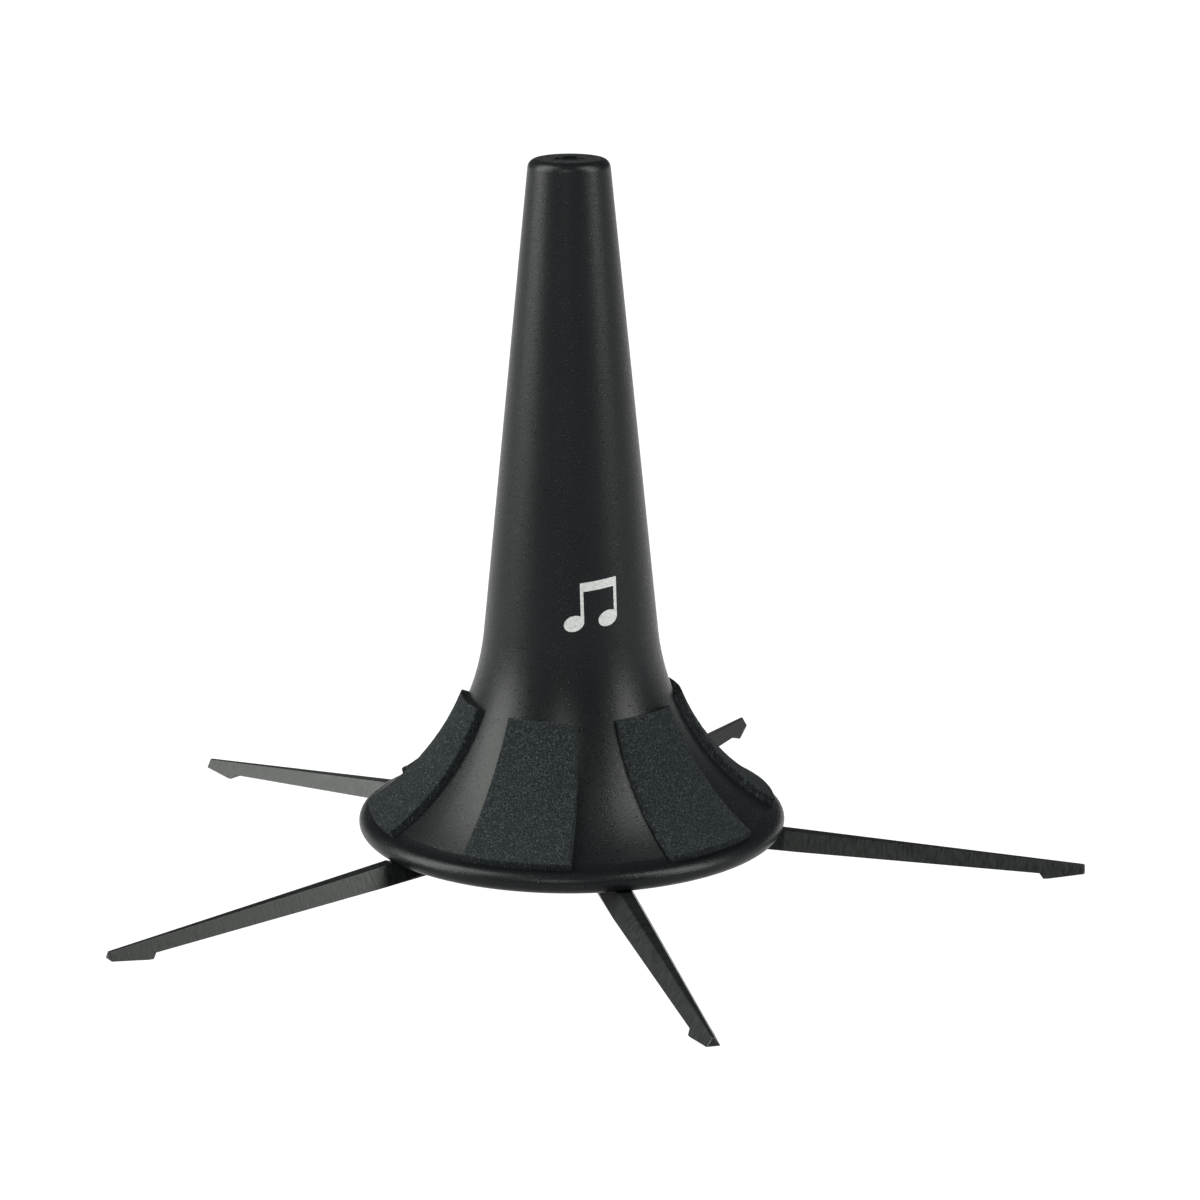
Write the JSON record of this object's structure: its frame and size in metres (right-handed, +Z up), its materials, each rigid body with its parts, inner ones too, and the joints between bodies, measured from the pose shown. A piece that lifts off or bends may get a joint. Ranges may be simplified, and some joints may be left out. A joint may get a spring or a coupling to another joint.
{
  "type": "trumpet stand",
  "caption": "In-bell trumpet stand: tall black tapered cone with a flared, felt-padded foot on a low spider of slim wedge-shaped folding legs.",
  "frame": {"origin": "on the ground plane, below the cone's vertical axis", "axes": "+Z up along the cone's axis; -Y along leg 1; the YZ plane is the plane of symmetry"},
  "size_m": [0.2572, 0.2448, 0.1882],
  "materials": {
    "cone_plastic": "fine spark-eroded grain, satin",
    "base_plastic": "smooth moulded",
    "felt": "dense needled felt",
    "leg_metal": "satin powder coat",
    "pin_steel": "ground",
    "screw_steel": "black zinc",
    "ring_rubber": "matt"
  },
  "bodies": {
    "base": {"base_disc": "base_plastic", "hub_cap": "base_plastic", "hub_screw": "screw_steel", "grip_ring": "ring_rubber", "leg_pin_1": "pin_steel", "leg_pin_2": "pin_steel", "leg_pin_3": "pin_steel", "leg_pin_4": "pin_steel", "leg_pin_5": "pin_steel"},
    "cone": {"cone_shell": "cone_plastic", "felt_pad_1": "felt", "felt_pad_2": "felt", "felt_pad_3": "felt", "felt_pad_4": "felt", "felt_pad_5": "felt", "felt_pad_6": "felt"},
    "leg_1": {"leg_1": "leg_metal"},
    "leg_2": {"leg_2": "leg_metal"},
    "leg_3": {"leg_3": "leg_metal"},
    "leg_4": {"leg_4": "leg_metal"},
    "leg_5": {"leg_5": "leg_metal"}
  },
  "joints": [
    {"name": "cone_lift", "type": "slide", "parent": "base", "child": "cone", "axis": [0, 0, 1], "range_m": [0, 0.06]},
    {"name": "leg_1_fold", "type": "hinge", "parent": "base", "child": "leg_1", "pos_m": [0, -0.014, 0.0121], "axis": [1, 0, 0], "range_deg": [0, 87]},
    {"name": "leg_2_fold", "type": "hinge", "parent": "base", "child": "leg_2", "pos_m": [0.01332, -0.00433, 0.0121], "axis": [0.309, 0.9511, 0], "range_deg": [0, 87]},
    {"name": "leg_3_fold", "type": "hinge", "parent": "base", "child": "leg_3", "pos_m": [0.00823, 0.01133, 0.0121], "axis": [-0.809, 0.5878, 0], "range_deg": [0, 87]},
    {"name": "leg_4_fold", "type": "hinge", "parent": "base", "child": "leg_4", "pos_m": [-0.00823, 0.01133, 0.0121], "axis": [-0.809, -0.5878, 0], "range_deg": [0, 87]},
    {"name": "leg_5_fold", "type": "hinge", "parent": "base", "child": "leg_5", "pos_m": [-0.01332, -0.00433, 0.0121], "axis": [0.309, -0.9511, 0], "range_deg": [0, 87]}
  ]
}
